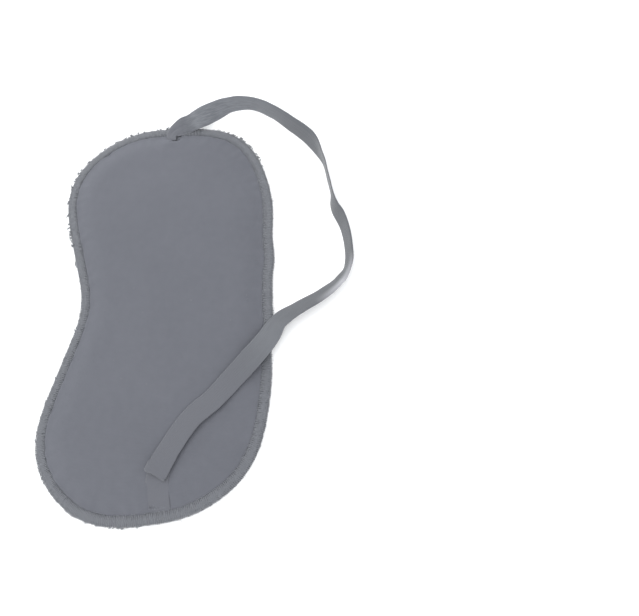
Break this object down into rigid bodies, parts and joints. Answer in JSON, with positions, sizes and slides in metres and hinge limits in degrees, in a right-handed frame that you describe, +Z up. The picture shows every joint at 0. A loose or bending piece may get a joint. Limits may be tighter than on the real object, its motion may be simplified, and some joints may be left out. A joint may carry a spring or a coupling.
{
  "type": "sleep mask",
  "caption": "Padded fabric sleep mask with a nose notch, an overlocked rim and a flat elastic head strap that swings about its sewn ends.",
  "frame": {"origin": "middle of the mask's outline, on the plane that its outer face rests on", "axes": "+X along the long ear-to-ear axis, +Y towards the forehead edge with the nose notch at -Y, +Z up out of the wearer's side"},
  "size_m": [0.198, 0.1401, 0.0108],
  "materials": {
    "outer_fabric": "matt grey knitted fabric",
    "inner_fabric": "matt grey fine knitted fabric",
    "foam": "soft open-cell foam wadding",
    "overlock_thread": "fluffy textured polyester thread",
    "elastic": "flat braided elastic with fine lengthwise ribs",
    "tack_thread": "close satin stitches"
  },
  "bodies": {
    "mask": {"outer_panel": "outer_fabric", "inner_panel": "inner_fabric", "padding_core": "foam", "overlock_upper_looper": "overlock_thread", "overlock_lower_looper": "overlock_thread", "overlock_needle_thread": "overlock_thread", "strap_tail_lower": "elastic", "strap_tail_upper": "elastic", "bartack_lower": "tack_thread", "bartack_upper": "tack_thread"},
    "strap": {"strap_band": "elastic"}
  },
  "joints": [
    {"name": "strap_swing", "type": "hinge", "parent": "mask", "child": "strap", "pos_m": [0, 0.0085, 0.0082], "axis": [1, 0, 0], "range_deg": [0, 175]}
  ]
}
